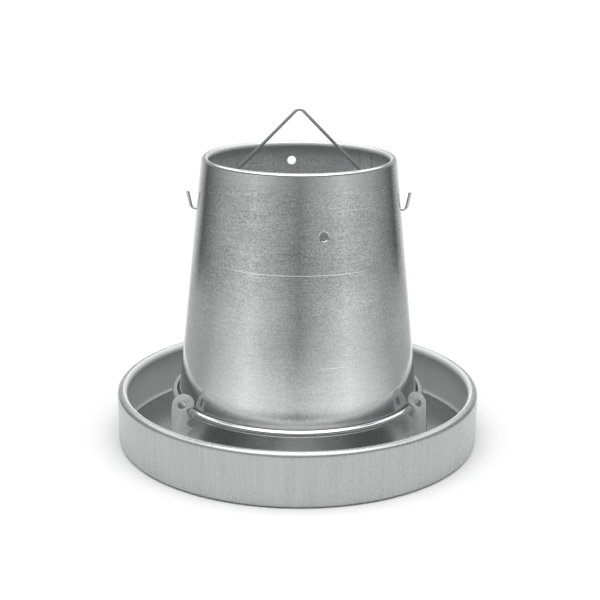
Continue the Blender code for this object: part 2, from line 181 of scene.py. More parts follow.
@dataclass(frozen=True)
class GalvanisedSteel:
    """Hot-dip galvanised steel: zinc that froze into small crystals, each with its own tilt and grey.

    To the eye it is a satin grey mirror broken into a fine sparkle, with paler bloom where it has been handled and
    faint marks along the way it was worked.
    """

    name: str
    working: Working
    pale: str = "#EDEEEE"
    dark: str = "#8C8D8E"
    roughness: float = 0.1
    spread: float = 0.04
    spangle: float = 0.8 * MM
    sparkle: float = 0.6
    tilt: float = 0.014
    patina: float = 0.06
    dull_inside: float = 0.0
    # Share of painted light on the faces that look in at the axis.
    painted_inner_light: float = 0.0
    # Share of painted shade on the faces that look up below the rim.
    painted_floor_shade: float = 0.0
    # Share of the cut edges' dark: bare steel plus painted shade.
    shaded_bare_edges: float = 0.0
    calm_below: float = 0.0
    calm_above: float = 0.0
    calm: float = 0.65
    grain: float = 0.6 * MM
    marks: float = 0.7
    relief: float = 0.01 * MM
    bloom: float = 40.0 * MM
    scuffs: tuple[Scuff, ...] = ()

    def material(self) -> Material:
        """Makes the material.

        Returns:
            A Principled metal whose grey, roughness and normal all follow the zinc's crystals.
        """
        made = bpy.data.materials.new(self.name)
        made.use_nodes = True
        tree = made.node_tree
        tree.nodes.clear()
        place = add_node(tree, "ShaderNodeTexCoord").outputs["Object"]
        voronoi = add_node(tree, "ShaderNodeTexVoronoi", {"Vector": place, "Scale": 1.0 / self.spangle})
        crystals = voronoi.outputs["Color"]
        parts = add_node(tree, "ShaderNodeSeparateColor", {"Color": crystals})
        grain = self.noise(tree, place, (self.grain,) * 3, 2.0)
        marks = self.noise(tree, place, self.working.value, 3.0)
        bloom = self.noise(tree, place, (self.bloom,) * 3, 3.0)

        weights = [(parts.outputs["Red"], self.sparkle), (grain, GRAIN_SHARE), (marks, self.marks)]
        grey = self.grey(tree, place, [*weights, (bloom, BLOOM_SHARE)])
        rough = self.weigh(tree, [(parts.outputs["Green"], 0.4 * self.spread), (bloom, 1.6 * self.spread)])
        rough = self.weigh(tree, [(rough, 1.0)], self.roughness - self.spread)
        for scuff in self.scuffs:
            mask = self.scuff_mask(tree, place, scuff)
            grey = blend(tree, mask, grey, linear(RUBBED_ZINC_AND_PAINTED_LIGHT))
            rough = self.weigh(tree, [(rough, 1.0), (mask, SOFTER)])
        metal: Any = 1.0 - self.patina
        if self.dull_inside:
            inside = self.inside_mask(tree, place)
            metal = self.weigh(tree, [(inside, -self.dull_inside)], metal)
            rough = self.weigh(tree, [(rough, 1.0), (inside, SOFTER)])

        centred = combine(tree, "SUBTRACT", crystals, (0.5,) * 3)
        normal = add_node(tree, "ShaderNodeNewGeometry").outputs["Normal"]
        tilted = combine(tree, "MULTIPLY_ADD", centred, (self.tilt,) * 3, normal)
        height = self.weigh(tree, [(marks, self.marks), (grain, 0.6)])
        unit = combine(tree, "NORMALIZE", tilted)
        bump = {"Strength": 0.3, "Distance": self.relief, "Height": height, "Normal": unit}
        bumped = add_node(tree, "ShaderNodeBump", bump).outputs[0]
        sockets = {"Base Color": grey, "Metallic": metal, "Roughness": rough, "Normal": bumped}
        shader = add_node(tree, "ShaderNodeBsdfPrincipled", sockets)
        add_node(tree, "ShaderNodeOutputMaterial", {"Surface": shader.outputs[0]})
        return made

    def grey(self, tree: Tree, place: Socket, weights: list[tuple[Socket, float]]) -> Socket:
        """Mixes the metal's grey, from the patterns, then the calmer places, the painted floor shade, the painted
        inner light and the cut edges' dark.

        Args:
            tree: the material's nodes.
            place: the position.
            weights: the patterns that make up the grey, and their weights.

        Returns:
            The colour.
        """
        total = sum(weight for _, weight in weights)
        worn = self.weigh(tree, [(socket, weight / total) for socket, weight in weights])
        height = add_node(tree, "ShaderNodeSeparateXYZ", {0: place}).outputs["Z"]
        below, above = self.calm_below, self.calm_above
        for begin, full in ((below, below / 2), (above, above + CALM_FADE)):
            if begin:
                calm = fade(tree, height, begin, full, self.calm)
                worn = add_node(tree, "ShaderNodeMix", {0: calm, 2: worn, 3: CALM_WEAR}).outputs[0]
        reach = 0.5 / total
        stops = [(0.5 - reach, linear(self.dark)), (0.5 + reach, linear(self.pale))]
        grey = add_node(tree, "ShaderNodeValToRGB", {"Fac": worn}, stops=stops).outputs["Color"]
        # Painted shade: faces that look up below the rim, on the floor, trough and cone, are darkened.
        if self.painted_floor_shade:
            grey = blend(tree, self.floor_shade_mask(tree, height), grey, linear(FLOOR_SHADE_GREY))
        # Painted light: faces that look in at the axis are mixed towards near white to lighten them.
        if self.painted_inner_light:
            share = calculate(tree, "MULTIPLY", self.inside_mask(tree, place), self.painted_inner_light)
            grey = blend(tree, share, grey, linear(RUBBED_ZINC_AND_PAINTED_LIGHT))
        # Cut edges painted near black: bare steel, darkened further as painted shade on the edges.
        if self.shaded_bare_edges:
            cut = add_node(tree, "ShaderNodeAttribute", settings={"attribute_name": CUT_EDGE}).outputs["Fac"]
            grey = blend(tree, calculate(tree, "MULTIPLY", cut, self.shaded_bare_edges), grey, linear(SHADED_BARE_STEEL))
        return grey

    def noise(self, tree: Tree, place: Socket, size: tuple[float, ...], detail: float) -> Socket:
        """Adds soft noise, about 0.5 on average, whose patches have the given size along X, Y and Z."""
        scale = tuple(1.0 / side for side in size)
        scaled = add_node(tree, "ShaderNodeMapping", {"Vector": place, "Scale": scale})
        inputs = {"Vector": scaled.outputs[0], "Scale": 1.0, "Detail": detail}
        return add_node(tree, "ShaderNodeTexNoise", inputs).outputs["Fac"]

    def weigh(self, tree: Tree, terms: list[tuple[Socket, float]], start: float = 0.0) -> Socket:
        """Adds up outputs, each times its weight.

        Args:
            tree: the material's nodes.
            terms: the outputs and their weights.
            start: what the sum starts from.

        Returns:
            The sum.
        """
        total: Any = start
        for socket, weight in terms:
            total = calculate(tree, "MULTIPLY_ADD", socket, weight, total)
        return total

    def inside_mask(self, tree: Tree, place: Socket) -> Socket:
        """Marks the faces that look in at the Z axis.

        Args:
            tree: the material's nodes.
            place: the position.

        Returns:
            1 on those faces and 0 elsewhere.
        """
        flat = combine(tree, "MULTIPLY", place, (1.0, 1.0, 0.0))
        normal = add_node(tree, "ShaderNodeTexCoord").outputs["Normal"]
        return calculate(tree, "LESS_THAN", combine(tree, "DOT_PRODUCT", flat, normal), FACES_IN)

    def floor_shade_mask(self, tree: Tree, height: Socket) -> Socket:
        """Marks the faces that look up and lie below the rim, where shade is painted on the floor.

        Args:
            tree: the material's nodes.
            height: the position's height.

        Returns:
            The painted shade's share on those faces and 0 elsewhere.
        """
        normal = add_node(tree, "ShaderNodeTexCoord").outputs["Normal"]
        up = add_node(tree, "ShaderNodeSeparateXYZ", {0: normal}).outputs["Z"]
        flat = fade(tree, up, 0.6, 0.9, self.painted_floor_shade)
        return calculate(tree, "MULTIPLY", flat, calculate(tree, "LESS_THAN", height, FLOOR_SHADE_TOP))

    def scuff_mask(self, tree: Tree, place: Socket, scuff: Scuff) -> Socket:
        """Marks a thin band at one height, fading out at both its ends.

        Args:
            tree: the material's nodes.
            place: the position.
            scuff: the line.

        Returns:
            The mask, from 0 to 1.
        """
        split = add_node(tree, "ShaderNodeSeparateXYZ", {0: place})
        azimuth = calculate(tree, "ARCTAN2", split.outputs["Y"], split.outputs["X"])
        middle, reach = (scuff.begin + scuff.end) / 2, (scuff.end - scuff.begin) / 2
        masks = []
        for value, centre, half in ((split.outputs["Z"], scuff.height, scuff.width), (azimuth, middle, reach)):
            away = calculate(tree, "ABSOLUTE", calculate(tree, "SUBTRACT", value, centre))
            masks.append(fade(tree, away, half, half / 2))
        return calculate(tree, "MULTIPLY", *masks)


def put_mesh(name: str, points: np.ndarray, faces: list[np.ndarray], finish: Material, weld: float = 0.0) -> Piece:
    """Makes a smooth mesh object at the origin.

    Args:
        name: the piece's name.
        points: an array of positions, one row each.
        faces: arrays of vertex numbers, one row per face, one array per number of sides.
        finish: its material.
        weld: distance under which points are merged, or 0 for none.

    Returns:
        The object, linked to the scene.
    """
    mesh = bpy.data.meshes.new(name)
    mesh.vertices.add(len(points))
    mesh.vertices.foreach_set("co", np.ascontiguousarray(points, np.float32).ravel())
    corners = np.concatenate([block.ravel() for block in faces]).astype(np.int32)
    sides = np.concatenate([np.full(len(block), block.shape[1]) for block in faces])
    mesh.loops.add(len(corners))
    mesh.loops.foreach_set("vertex_index", corners)
    mesh.polygons.add(len(sides))
    mesh.polygons.foreach_set("loop_start", np.concatenate([[0], np.cumsum(sides)[:-1]]).astype(np.int32))
    mesh.update(calc_edges=True)
    mesh.validate()
    if weld:
        shape = bmesh.new()
        shape.from_mesh(mesh)
        bmesh.ops.remove_doubles(shape, verts=shape.verts, dist=weld)
        shape.to_mesh(mesh)
        shape.free()
    mesh.shade_smooth()
    mesh.materials.append(finish)
    made = bpy.data.objects.new(name, mesh)
    bpy.context.scene.collection.objects.link(made)
    return made


def dress(piece: Piece, body: str, nodes: list[str]) -> Piece:
    """Puts a finished piece on its body, in the place of its CAD nodes.

    Args:
        piece: the finished piece.
        body: the CAD body that it moves with.
        nodes: the CAD nodes that it stands for.

    Returns:
        The same piece.
    """
    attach(piece, body)
    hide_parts(*nodes)
    LOG.info("%s: %d faces, on %s", piece.name, len(piece.data.polygons), body)
    return piece


def arc(centre: tuple[float, float], radius: float, start: float, end: float, count: int) -> np.ndarray:
    """Gives count + 1 points on an arc: the centre plus radius times the cosine and sine of each angle."""
    angles = np.linspace(start, end, count + 1)
    return np.stack([centre[0] + radius * np.cos(angles), centre[1] + radius * np.sin(angles)], 1)


def line(start: np.ndarray, end: np.ndarray, count: int) -> np.ndarray:
    """Gives evenly spaced points strictly between two points."""
    shares = np.arange(1, count + 1)[:, None] / (count + 1)
    return np.asarray(start) * (1 - shares) + np.asarray(end) * shares


def normals_2d(path: np.ndarray) -> np.ndarray:
    """Left-hand unit normals of an open path: the tangent through each point's neighbours, turned a quarter turn.

    Args:
        path: the path's points.

    Returns:
        One normal for each point.
    """
    tangent = np.gradient(path, axis=0)
    tangent /= np.linalg.norm(tangent, axis=1, keepdims=True)
    return np.stack([-tangent[:, 1], tangent[:, 0]], 1)


def sheet_outline(path: np.ndarray, thickness: float, end_steps: int) -> np.ndarray:
    """The closed outline of a sheet along its middle line, with each free edge rounded.

    The left side runs with the path and the right side runs back, each half a thickness off along the normals.
    Between them each free edge is a half circle about the path's end.

    Args:
        path: the sheet's middle line.
        thickness: the sheet's thickness.
        end_steps: points on each rounded edge, 0 for a square edge.

    Returns:
        The outline's points, with no point repeated.
    """
    half = thickness / 2
    normal = normals_2d(path)
    left, right = path + normal * half, path - normal * half
    pieces = [left]
    turns = np.arange(1, end_steps + 1)[:, None] * math.pi / (end_steps + 1)
    for place, back in ((-1, right[::-1]), (0, None)):
        side = normal[place] * (1 if back is not None else -1)
        ahead = np.array([side[1], -side[0]])
        pieces.append(path[place] + half * (side * np.cos(turns) + ahead * np.sin(turns)))
        if back is not None:
            pieces.append(back)
    return np.concatenate(pieces)


def revolve(outline: np.ndarray, azimuths: np.ndarray) -> tuple[np.ndarray, np.ndarray]:
    """Turns a closed outline of radius and height about the Z axis.

    Each point is (radius cos a, radius sin a, height) at each azimuth a. The azimuths go once round.

    Args:
        outline: radius and height of each point, going round the section.
        azimuths: the columns' angles.

    Returns:
        The points, row by row, and the four-sided faces.
    """
    radius, height = outline[:, 0][:, None], outline[:, 1][:, None]
    points = np.stack(
        [radius * np.cos(azimuths), radius * np.sin(azimuths), height + 0 * azimuths], 2
    ).reshape(-1, 3)
    return points, wrapped_quads(len(outline), len(azimuths))


def wrapped_quads(rows: int, columns: int, wrap_rows: bool = True) -> np.ndarray:
    """Faces of a grid whose columns close on themselves, and whose rows may.

    Args:
        rows: number of rows.
        columns: number of columns.
        wrap_rows: whether the last row joins the first.

    Returns:
        Vertex numbers, four to a face, ordered row by row.
    """
    row = np.arange(rows if wrap_rows else rows - 1)[:, None]
    column = np.arange(columns)[None, :]
    below, beside = (row + 1) % rows, (column + 1) % columns
    quads = np.stack(
        [
            row * columns + column,
            below * columns + column,
            below * columns + beside,
            row * columns + beside,
        ],
        2,
    )
    return quads.reshape(-1, 4)


def outward(points: np.ndarray, faces: list[np.ndarray]) -> list[np.ndarray]:
    """Turns all the faces of a closed shape round if its volume comes out negative.

    Args:
        points: the shape's points.
        faces: its faces.

    Returns:
        The faces, pointing out.
    """
    volume = sum(
        float(np.einsum("ij,ij->", points[f[:, 0]], np.cross(points[f[:, i]], points[f[:, i + 1]])))
        for f in faces
        for i in range(1, f.shape[1] - 1)
    )
    return faces if volume > 0 else [f[:, ::-1] for f in faces]


@dataclass(frozen=True)
class Hole:
    """A round hole through the hopper's wall."""

    azimuth: float
    height: float
    radius: float


@dataclass
class Pan:
    """The drawn feed pan, which carries the racks and rivets."""

    sheet: float = 0.8 * MM
    bead: float = 9.2 * MM
    corner: float = 3.8 * MM
    foot_ring: float = 11.0 * MM
    step: float = 3.0 * MM
    rise: float = 4.0 * MM
    cone_height: float = 46.0 * MM
    cone_foot: float = 114.3 * MM
    tip: float = 10.0 * MM
    bend: float = 1.2 * MM
    cone_bend: float = 4.0 * MM
    cone_margin: float = 20.0 * MM
    end_steps: int = 5
    columns: int = 288

    def __post_init__(self) -> None:
        """Reads the pan's radius and height from the frame."""
        low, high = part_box("pan")
        self.radius = high.x
        self.height = high.z

    def middle_line(self) -> np.ndarray:
        """The pan's mid-sheet line, from the rim curl's free edge to the axis.

        Returns:
            Radius and height of each point.
        """
        half = self.sheet / 2
        wall = self.radius - half
        curl = self.bead / 2 - half
        rim = arc((wall - curl, self.height - self.bead / 2), curl, math.radians(300.0), 0.0, 40)
        corner = self.corner - half
        foot = arc((wall - corner, self.corner), corner, 0.0, -math.pi / 2, 10)
        step_out = self.radius - self.foot_ring
        floor = self.rise + half
        flat = [(wall - corner, half), (step_out, half), (step_out - self.step, floor), (self.cone_foot, floor)]
        step = soft_corner(np.array(flat), self.bend)
        slope = math.atan2(self.cone_height, self.cone_foot)
        tip_centre = floor + self.cone_height - self.tip / math.cos(slope)
        tip = arc((0.0, tip_centre), self.tip, math.pi / 2 - slope, math.pi / 2, 6)
        cone = np.array([step[-1] + (self.cone_margin, 0), (self.cone_foot, floor), tip[0]])
        cone = soft_corner(cone, self.cone_bend)[1:-1]
        parts = [rim, line(rim[-1], foot[0], 12), foot, step[1:-1]]
        parts += [line(step[-2], cone[0], 10), cone, line(cone[-1], tip[0], 14), tip]
        return np.concatenate(parts)

    def build(self, finish: Material) -> Piece:
        """Builds the pan as a sheet turned about its axis, closed at the cone's tip.

        Args:
            finish: the pan's material.

        Returns:
            The pan, dressed.
        """
        path = self.middle_line()
        outline = sheet_outline(path, self.sheet, self.end_steps)
        start_cap = outline[-self.end_steps:]
        sides = np.concatenate([outline[: len(path)], outline[len(path) + self.end_steps : -self.end_steps]])
        sides[len(path) - 1, 0] = sides[len(path), 0] = 0.0
        outline = np.concatenate([sides, start_cap])
        azimuths = np.arange(self.columns) * math.tau / self.columns
        points, _ = revolve(outline, azimuths)
        quads = wrapped_quads(len(outline), self.columns)
        rows = quads[:, 0] // self.columns
        quads = quads[rows != len(path) - 1]
        faces = outward(points, [quads])
        piece = put_mesh("feed_pan", points, faces, finish, WELD)
        return dress(piece, "pan", ["pan"])


def soft_corner(corners: np.ndarray, radius: float, steps: int = 6) -> np.ndarray:
    """A path of straight runs with each inner corner turned into an arc-like curve of the given reach.

    The curve is quadratic: (1 - t)^2 start + 2 t (1 - t) corner + t^2 end, from radius before to radius after.

    Args:
        corners: the path's corners.
        radius: how far from the corner the curve starts and ends.
        steps: steps on each curve.

    Returns:
        The path's points.
    """
    shares = np.linspace(0.0, 1.0, steps + 1)[:, None]
    pieces = [corners[:1]]
    for before, corner, after in zip(corners, corners[1:], corners[2:]):
        start = corner + (before - corner) / np.linalg.norm(before - corner) * radius
        end = corner + (after - corner) / np.linalg.norm(after - corner) * radius
        pieces.append((1 - shares) ** 2 * start + 2 * shares * (1 - shares) * corner + shares**2 * end)
    pieces.append(corners[-1:])
    return np.concatenate(pieces)


@dataclass
class Racks:
    """The three toothed plates in the pan, and the rivets through their feet."""

    sheet: float = 1.2 * MM
    ring_radius: float = 122.5 * MM
    azimuth: float = math.radians(93.5)
    twist: float = math.radians(15.0)
    notches: int = 3
    pitch: float = 12.0 * MM
    top_notch: float = 47.0 * MM
    notch_radius: float = 4.06 * MM
    reach: float = 2.6 * MM
    tooth_tip: float = 1.2 * MM
    tooth_drop: float = 0.3 * MM
    head: float = 11.0 * MM
    head_out: float = 7.8 * MM
    head_rise: float = 7.6 * MM
    hole: float = 4.0 * MM
    hole_out: float = 1.2 * MM
    back_slope: float = 2.6 * MM
    bend: float = 1.8 * MM
    tab: float = 13.0 * MM
    edge: float = 0.22 * MM
    foot_cut: float = 2.0 * MM
    rivet_head: float = 1.3 * MM
    rivet_sides: int = 40
    floor: float = 4.8 * MM
    gap: float = 0.3 * MM
    names: tuple[str, ...] = ("rack_back", "rack_left", "rack_right")

    def outline(self, foot: float) -> list[np.ndarray]:
        """The flat plate's outline and its hole, with X out from the base bead and Y up.

        Args:
            foot: the height at which the flattened plate ends, under the floor.

        Returns:
            The outer outline and the hole.
        """
        tip = -self.reach
        parts = [np.array([(tip + self.foot_cut, foot), (tip, foot + self.foot_cut)])]
        for index in range(self.notches):
            notch = self.top_notch - (self.notches - 1 - index) * self.pitch
            tooth = (tip + self.tooth_tip, notch - self.notch_radius - self.tooth_tip - self.tooth_drop)
            start = math.pi if index == 0 else math.radians(244.0)
            end = math.radians(90.0 if index == self.notches - 1 else 60.0)
            parts.append(arc(tooth, self.tooth_tip, start, math.radians(100.0), 10))
            parts.append(arc((0.0, notch), self.notch_radius, -math.pi / 2, end, 24))
        head = (self.head_out, self.top_notch + self.head_rise)
        dip = math.asin((self.head_rise - self.notch_radius) / self.head)
        parts.append(arc(head, self.head, math.pi + dip, 0.0, 48))
        back = self.head_out + self.head + self.back_slope
        parts.append(np.array([(back, foot + self.foot_cut), (back - self.foot_cut, foot)]))
        hole = (self.head_out + self.hole_out, head[1])
        return [np.concatenate(parts), arc(hole, self.hole, 0.0, math.tau, 40)[:-1]]

    def plate(self) -> tuple[np.ndarray, list[np.ndarray], np.ndarray]:
        """One plate, stamped flat with softened edges and then bent at its foot.

        A point at height h under the bend goes round an arc: y = c - (c - n) cos a, z = b - (c - n) sin a, where
        c is the mid-sheet bend radius, b the bend's height, n the offset from mid-sheet, and a = (b - h) / c.

        Returns:
            The points, in the rack's own axes, the faces, and 1 for each face that is a cut edge.
        """
        half = self.sheet / 2
        middle = self.bend + half
        bend_height = self.floor + self.gap + half + middle
        quarter = middle * math.pi / 2
        foot = bend_height - quarter - (self.tab - middle)
        curve = bpy.data.curves.new("plate", "CURVE")
        curve.dimensions = "2D"
        curve.fill_mode = "BOTH"
        curve.extrude = half - self.edge
        curve.bevel_depth = self.edge
        curve.bevel_resolution = 2
        curve.offset = -self.edge
        for outline in self.outline(foot):
            spline = curve.splines.new("POLY")
            spline.points.add(len(outline) - 1)
            flat = np.column_stack([outline, np.zeros(len(outline)), np.ones(len(outline))])
            spline.points.foreach_set("co", flat.astype(np.float32).ravel())
            spline.use_cyclic_u = True
        drawn = bpy.data.objects.new("plate", curve)
        bpy.context.scene.collection.objects.link(drawn)
        bpy.context.view_layer.update()
        mesh = bpy.data.meshes.new_from_object(drawn.evaluated_get(bpy.context.evaluated_depsgraph_get()))
        bpy.data.objects.remove(drawn)
        shape = bmesh.new()
        shape.from_mesh(mesh)
        bmesh.ops.remove_doubles(shape, verts=shape.verts, dist=0.001 * MM)
        for height in np.linspace(bend_height, bend_height - quarter, 9):
            everything = shape.verts[:] + shape.edges[:] + shape.faces[:]
            bmesh.ops.bisect_plane(shape, geom=everything, plane_co=(0, height, 0), plane_no=(0, 1, 0))
        bmesh.ops.triangulate(shape, faces=shape.faces)
        shape.to_mesh(mesh)
        shape.free()
        flat = np.empty(len(mesh.vertices) * 3, np.float32)
        mesh.vertices.foreach_get("co", flat)
        flat = flat.reshape(-1, 3).astype(float)
        corners = np.empty(len(mesh.loops), np.int32)
        mesh.loops.foreach_get("vertex_index", corners)
        triangles = flat[corners.reshape(-1, 3)]
        across = np.cross(triangles[:, 1] - triangles[:, 0], triangles[:, 2] - triangles[:, 0])
        cut = np.abs(across[:, 2]) < 0.5 * np.linalg.norm(across, axis=1)
        x, up, off = flat[:, 0], flat[:, 1], -flat[:, 2]
        turn = np.clip((bend_height - up) / middle, 0.0, math.pi / 2)
        past = np.maximum(bend_height - quarter - up, 0.0)
        y = np.where(up > bend_height, off, middle - (middle - off) * np.cos(turn) + past)
        z = np.where(up > bend_height, up, bend_height - (middle - off) * np.sin(turn))
        return np.column_stack([x, y, z]), [corners.reshape(-1, 3)], cut.astype(np.float32)

    def build(self, finish: Material) -> list[Piece]:
        """Places the plate three times round the pan.

        Args:
            finish: the racks' material.

        Returns:
            The three racks, dressed.
        """
        points, faces, cut = self.plate()
        racks = []
        for index, name in enumerate(self.names):
            azimuth = self.azimuth + index * math.tau / len(self.names)
            place = Matrix.Rotation(azimuth, 4, "Z") @ Matrix.Translation((self.ring_radius, 0.0, 0.0))
            place = np.array(place @ Matrix.Rotation(-self.twist, 4, "Z"))
            placed = points @ place[:3, :3].T + place[:3, 3]
            piece = put_mesh(f"{name}_plate", placed, outward(placed, faces), finish)
            piece.data.set_sharp_from_angle(angle=SHARP)
            piece.data.attributes.new(CUT_EDGE, "FLOAT", "FACE").data.foreach_set("value", cut)
            racks.append(dress(piece, "pan", [name]))
        return racks

    def rivets(self, finish: Material) -> list[Piece]:
        """Builds each rivet round its CAD node's axis: a domed head, the shank and the upset head.

        Args:
            finish: the rivets' material.

        Returns:
            The rivets, dressed.
        """
        made = []
        azimuths = np.arange(self.rivet_sides) * math.tau / self.rivet_sides
        for name in sorted(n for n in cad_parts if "_rivet_" in n):
            low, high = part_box(name)
            head = (high.x - low.x) / 2
            shank = head / 2
            under_head, over_tail = high.z - self.rivet_head, low.z + self.rivet_head
            dome = np.linspace(math.pi / 2, DOME_FOOT, 12)
            top = np.column_stack([head * np.cos(dome), under_head + self.rivet_head * np.sin(dome)])
            shaft = np.array([(head, under_head), (shank, under_head), (shank, over_tail), (head, over_tail)])
            tail = np.column_stack([head * np.cos(dome), over_tail - self.rivet_head * np.sin(dome)])[::-1]
            outline = np.concatenate([top, shaft, tail])
            outline[0, 0] = outline[-1, 0] = 0.0
            points, _ = revolve(outline, azimuths)
            points += ((low.x + high.x) / 2, (low.y + high.y) / 2, 0.0)
            quads = wrapped_quads(len(outline), len(azimuths), wrap_rows=False)
            piece = put_mesh(f"{name}_set", points, outward(points, [quads]), finish, WELD)
            piece.data.set_sharp_from_angle(angle=SHARP)
            made.append(dress(piece, "pan", [name]))
        return made


@dataclass
class Hopper:
    """The rolled hopper: a tapered wall with a curl at each end, a lapped seam and four holes."""

    sheet: float = 0.8 * MM
    top_radius: float = 93.8 * MM
    foot_radius: float = 118.3 * MM
    top_bead: float = 6.6 * MM
    base_bead: float = 7.2 * MM
    flare: float = 2.5 * MM
    bail_drop: float = 51.6 * MM
    bail_hole: float = 1.9 * MM
    seam: float = math.radians(44.2)
    foot_spread: float = 0.45 * MM
    foot_reach: float = 16.0 * MM
    lap: float = math.radians(4.8)
    lap_step: float = 0.2 * MM
    columns: int = 360
    rows: int = 110
    seam_edge: float = 0.0004
    curl_rows: int = 60
    hole_margin: float = 2.5 * MM
    hole_rings: int = 5
    end_steps: int = 5
    front_hole: tuple[float, float, float] = (4.2 * MM, math.radians(-76.9), 56.2 * MM)
    back_hole: tuple[float, float, float] = (4.5 * MM, math.radians(94.7), 21.0 * MM)
    ring_radius: float = 122.5 * MM
    ring_height: float = 47.0 * MM
    top: float = 283.1 * MM
    first_wall_row: int = field(default=0, init=False)

    def middle_line(self) -> np.ndarray:
        """The hopper's mid-sheet line, from the top curl's free edge to the base curl's.

        Returns:
            Radius and height of each point.
        """
        half = self.sheet / 2
        self.wall_top = np.array([self.top_radius - half, self.top - self.top_bead / 2])
        self.wall_foot = np.array([self.foot_radius - half, self.ring_height + self.base_bead / 2 + self.flare])
        taper = math.atan2(self.wall_foot[0] - self.wall_top[0], self.wall_top[1] - self.wall_foot[1])
        top_curl = self.top_bead / 2 - half
        curl = arc((self.wall_top[0] - top_curl, self.wall_top[1]), top_curl, math.radians(300.0), taper, 36)
        base_curl = self.base_bead / 2 - half
        ring = (self.ring_radius, self.ring_height)
        base = arc(ring, base_curl, math.radians(165.0), math.radians(464.0), 44)
        self.first_wall_row = len(curl)
        wall = line(curl[-1], self.wall_foot, self.rows)
        near = np.clip((self.wall_foot[1] + self.foot_reach - wall[:, 1]) / self.foot_reach, 0.0, 1.0)
        wall[:, 0] += self.foot_spread * near**2
        self.wall_foot[0] += self.foot_spread
        flare = soft_corner(np.array([wall[-1], self.wall_foot, base[0]]), 1.2 * MM)[1:-1]
        return np.concatenate([curl, wall, flare, line(flare[-1], base[0], 3), base])

    def wall_point(self, azimuth: np.ndarray, row: np.ndarray, side: int) -> np.ndarray:
        """Places points on one face of the wall.

        The wall is a cone, so a place between two rows of the grid is the straight mix of the two.

        Args:
            azimuth: the points' azimuths.
            row: their rows, which need not be whole.
            side: +1 for the outer face and -1 for the inner one.

        Returns:
            The positions.
        """
        offset = self.path + side * self.outward_normals * self.sheet / 2
        base = np.clip(np.floor(row).astype(int), 0, len(self.path) - 2)
        share = (row - base)[:, None]
        section = offset[base] * (1 - share) + offset[base + 1] * share
        return np.column_stack([section[:, 0] * np.cos(azimuth), section[:, 0] * np.sin(azimuth), section[:, 1]])

    def holes(self) -> list[Hole]:
        """The wall's four holes: two for the bail, one in front and one behind."""
        bail = self.top - self.bail_drop
        pairs = [Hole(0.0, bail, self.bail_hole), Hole(math.pi, bail, self.bail_hole)]
        for radius, azimuth, drop in (self.front_hole, self.back_hole):
            pairs.append(Hole(azimuth % math.tau, self.top - drop, radius))
        return pairs

    def build(self, finish: Material) -> Piece:
        """Builds the hopper as one closed sheet with its holes cut through.

        Args:
            finish: the hopper's material.

        Returns:
            The hopper, dressed.
        """
        self.path = self.middle_line()
        left = normals_2d(self.path)
        sign = 1.0 if left[self.first_wall_row + 5, 0] > 0 else -1.0
        self.outward_normals = left * sign
        outline = sheet_outline(self.path, self.sheet, self.end_steps)
        count = len(self.path)
        # The half column keeps the first column of points clear of the bail's two holes.
        azimuths = (np.arange(self.columns) + 0.5) * math.tau / self.columns
        for edge in (self.seam - self.lap, self.seam + self.lap):
            before = np.searchsorted(azimuths, edge) - 1
            azimuths[before:before + 2] = edge - self.seam_edge, edge + self.seam_edge
        points, _ = revolve(outline, azimuths)
        quads = wrapped_quads(len(outline), self.columns)
        outer_first = sign > 0
        side_rows = {
            1 if outer_first else -1: np.arange(count),
            -1 if outer_first else 1: count + self.end_steps + np.arange(count)[::-1],
        }
        self.lap_seam(points, azimuths, side_rows)
        keep = np.ones(len(quads), bool)
        quad_row, quad_column = quads[:, 0] // self.columns, quads[:, 0] % self.columns
        blocks = [points]
        extra: list[np.ndarray] = []
        total = len(points)
        for hole in self.holes():
            rings = {}
            for side, rows in side_rows.items():
                lost, patch_points, patch_quads, rim = self.patch(hole, azimuths, rows, side, total)
                cells_row = np.minimum(rows[lost[0]:lost[1]], rows[lost[0] + 1:lost[1] + 1])
                in_rows = np.isin(quad_row, cells_row)
                in_columns = np.isin(quad_column, np.arange(lost[2], lost[3]) % self.columns)
                keep &= ~(in_rows & in_columns)
                blocks.append(patch_points)
                extra.append(patch_quads if side > 0 else patch_quads[:, ::-1])
                total += len(patch_points)
                rings[side] = rim
            following = {side: np.roll(rim, -1) for side, rim in rings.items()}
            extra.append(np.column_stack([rings[1], following[1], following[-1], rings[-1]]))
        points = np.concatenate(blocks)
        quads = quads[keep]
        if not outer_first:
            quads = quads[:, ::-1]
        piece = put_mesh("hopper_shell", points, [quads, *extra], finish)
        shape = bmesh.new()
        shape.from_mesh(piece.data)
        bmesh.ops.recalc_face_normals(shape, faces=shape.faces)
        shape.to_mesh(piece.data)
        shape.free()
        return dress(piece, "hopper", ["hopper"])

    def lap_seam(self, points: np.ndarray, azimuths: np.ndarray, side_rows: dict[int, np.ndarray]) -> None:
        """Doubles the wall on its inside along the seam and steps its outside at the lap's edge.

        Args:
            points: the grid's points, which are moved.
            azimuths: the columns' azimuths.
            side_rows: the outline's rows of the outer (+1) and inner (-1) face.
        """
        grid = points.reshape(-1, self.columns, 3)
        inward = -np.stack([np.cos(azimuths), np.sin(azimuths), 0 * azimuths], 1)
        wall = slice(self.first_wall_row + 2, self.first_wall_row + self.rows - 2)
        doubled = np.flatnonzero(np.abs(azimuths - self.seam) < self.lap)
        grid[side_rows[-1][wall][:, None], doubled] += inward[doubled] * self.sheet
        edge = doubled[-1]
        grid[side_rows[1][wall], edge] += inward[edge] * self.lap_step

